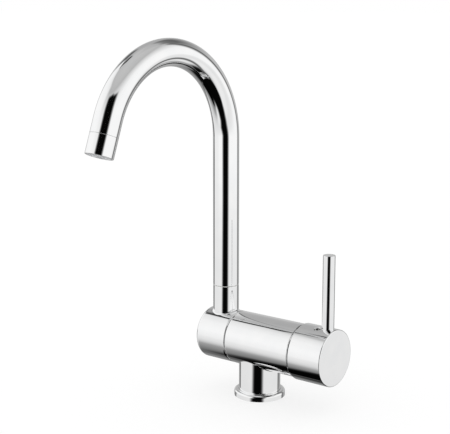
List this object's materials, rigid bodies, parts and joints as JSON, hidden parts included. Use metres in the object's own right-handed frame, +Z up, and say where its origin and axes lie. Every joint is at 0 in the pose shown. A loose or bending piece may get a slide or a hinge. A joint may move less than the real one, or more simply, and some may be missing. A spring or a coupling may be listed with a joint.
{
  "type": "three way kitchen mixer tap",
  "caption": "Chrome kitchen tap for hot, cold and filtered water: tall arched spout that swivels and folds forward, horizontal body on a short column, pin lever handle.",
  "frame": {"origin": "centre of the column's foot on the deck plane", "axes": "+Z up, +X along the horizontal body towards the handle, the spout points to -Y (the front)"},
  "size_m": [0.1282, 0.183, 0.3003],
  "materials": {
    "polished_chrome": "bright polished chrome plate on brass",
    "bare_brass": "machined, uncoated",
    "copper_tube": "drawn, lightly oxidised",
    "stainless_steel": "plain stainless",
    "black_rubber": "moulded, slightly greased",
    "white_bearing_plastic": "turned slip ring",
    "aerator_plastic": "moulded grey",
    "cartridge_plastic": "moulded, glass filled",
    "ceramic": "lapped alumina ceramic"
  },
  "bodies": {
    "mixer_body": {"base_flange": "polished_chrome", "base_gasket": "black_rubber", "base_plug": "bare_brass", "cold_inlet_tube": "copper_tube", "hot_inlet_tube": "copper_tube", "filtered_inlet_tube": "copper_tube", "body_shell": "polished_chrome", "fold_axle": "bare_brass", "fold_axle_seals": "black_rubber", "fold_thrust_washer": "white_bearing_plastic", "fold_friction_washer": "stainless_steel", "fold_retaining_nut": "bare_brass", "fold_stop_pin": "stainless_steel", "cartridge_seat": "bare_brass", "cartridge_seat_seals": "black_rubber", "cartridge_port_seals": "black_rubber", "cartridge_housing": "cartridge_plastic", "fixed_ceramic_disc": "ceramic", "cartridge_nut": "bare_brass", "cartridge_dome": "polished_chrome"},
    "folding_block": {"fold_block": "polished_chrome", "block_end_cap": "polished_chrome"},
    "spout": {"spout_tube": "polished_chrome", "spout_spigot": "bare_brass", "spout_snap_ring": "stainless_steel", "spout_seals": "black_rubber", "spout_slip_ring": "white_bearing_plastic", "aerator_housing": "polished_chrome", "aerator_seal": "black_rubber", "aerator_insert": "aerator_plastic"},
    "carrier": {"cartridge_carrier": "cartridge_plastic", "stem_pivot_pin": "stainless_steel"},
    "valve_disc": {"moving_ceramic_disc": "ceramic", "disc_driver": "cartridge_plastic"},
    "handle": {"cartridge_stem": "bare_brass", "handle_hub": "polished_chrome", "lever_pin": "polished_chrome", "handle_grub_screw": "stainless_steel"}
  },
  "joints": [
    {"name": "spout_fold", "type": "hinge", "parent": "mixer_body", "child": "folding_block", "pos_m": [-0.0365, 0, 0.0465], "axis": [1, 0, 0], "range_deg": [0, 90]},
    {"name": "spout_swivel", "type": "hinge", "parent": "folding_block", "child": "spout", "pos_m": [-0.0365, 0, 0.0905], "axis": [0, 0, 1], "continuous": true},
    {"name": "handle_turn", "type": "hinge", "parent": "mixer_body", "child": "carrier", "pos_m": [0.04, 0, 0.0465], "axis": [1, 0, 0], "range_deg": [-45, 45]},
    {"name": "handle_tilt", "type": "hinge", "parent": "carrier", "child": "handle", "pos_m": [0.04, 0, 0.0465], "axis": [0, 1, 0], "range_deg": [0, 25]},
    {"name": "disc_slide", "type": "slide", "parent": "carrier", "child": "valve_disc", "axis": [0, 0, 1], "range_m": [0, 0.00254]}
  ],
  "couplings": [
    {"joint": "disc_slide", "follows": "handle_tilt", "m_per_rad": 0.0058114}
  ]
}
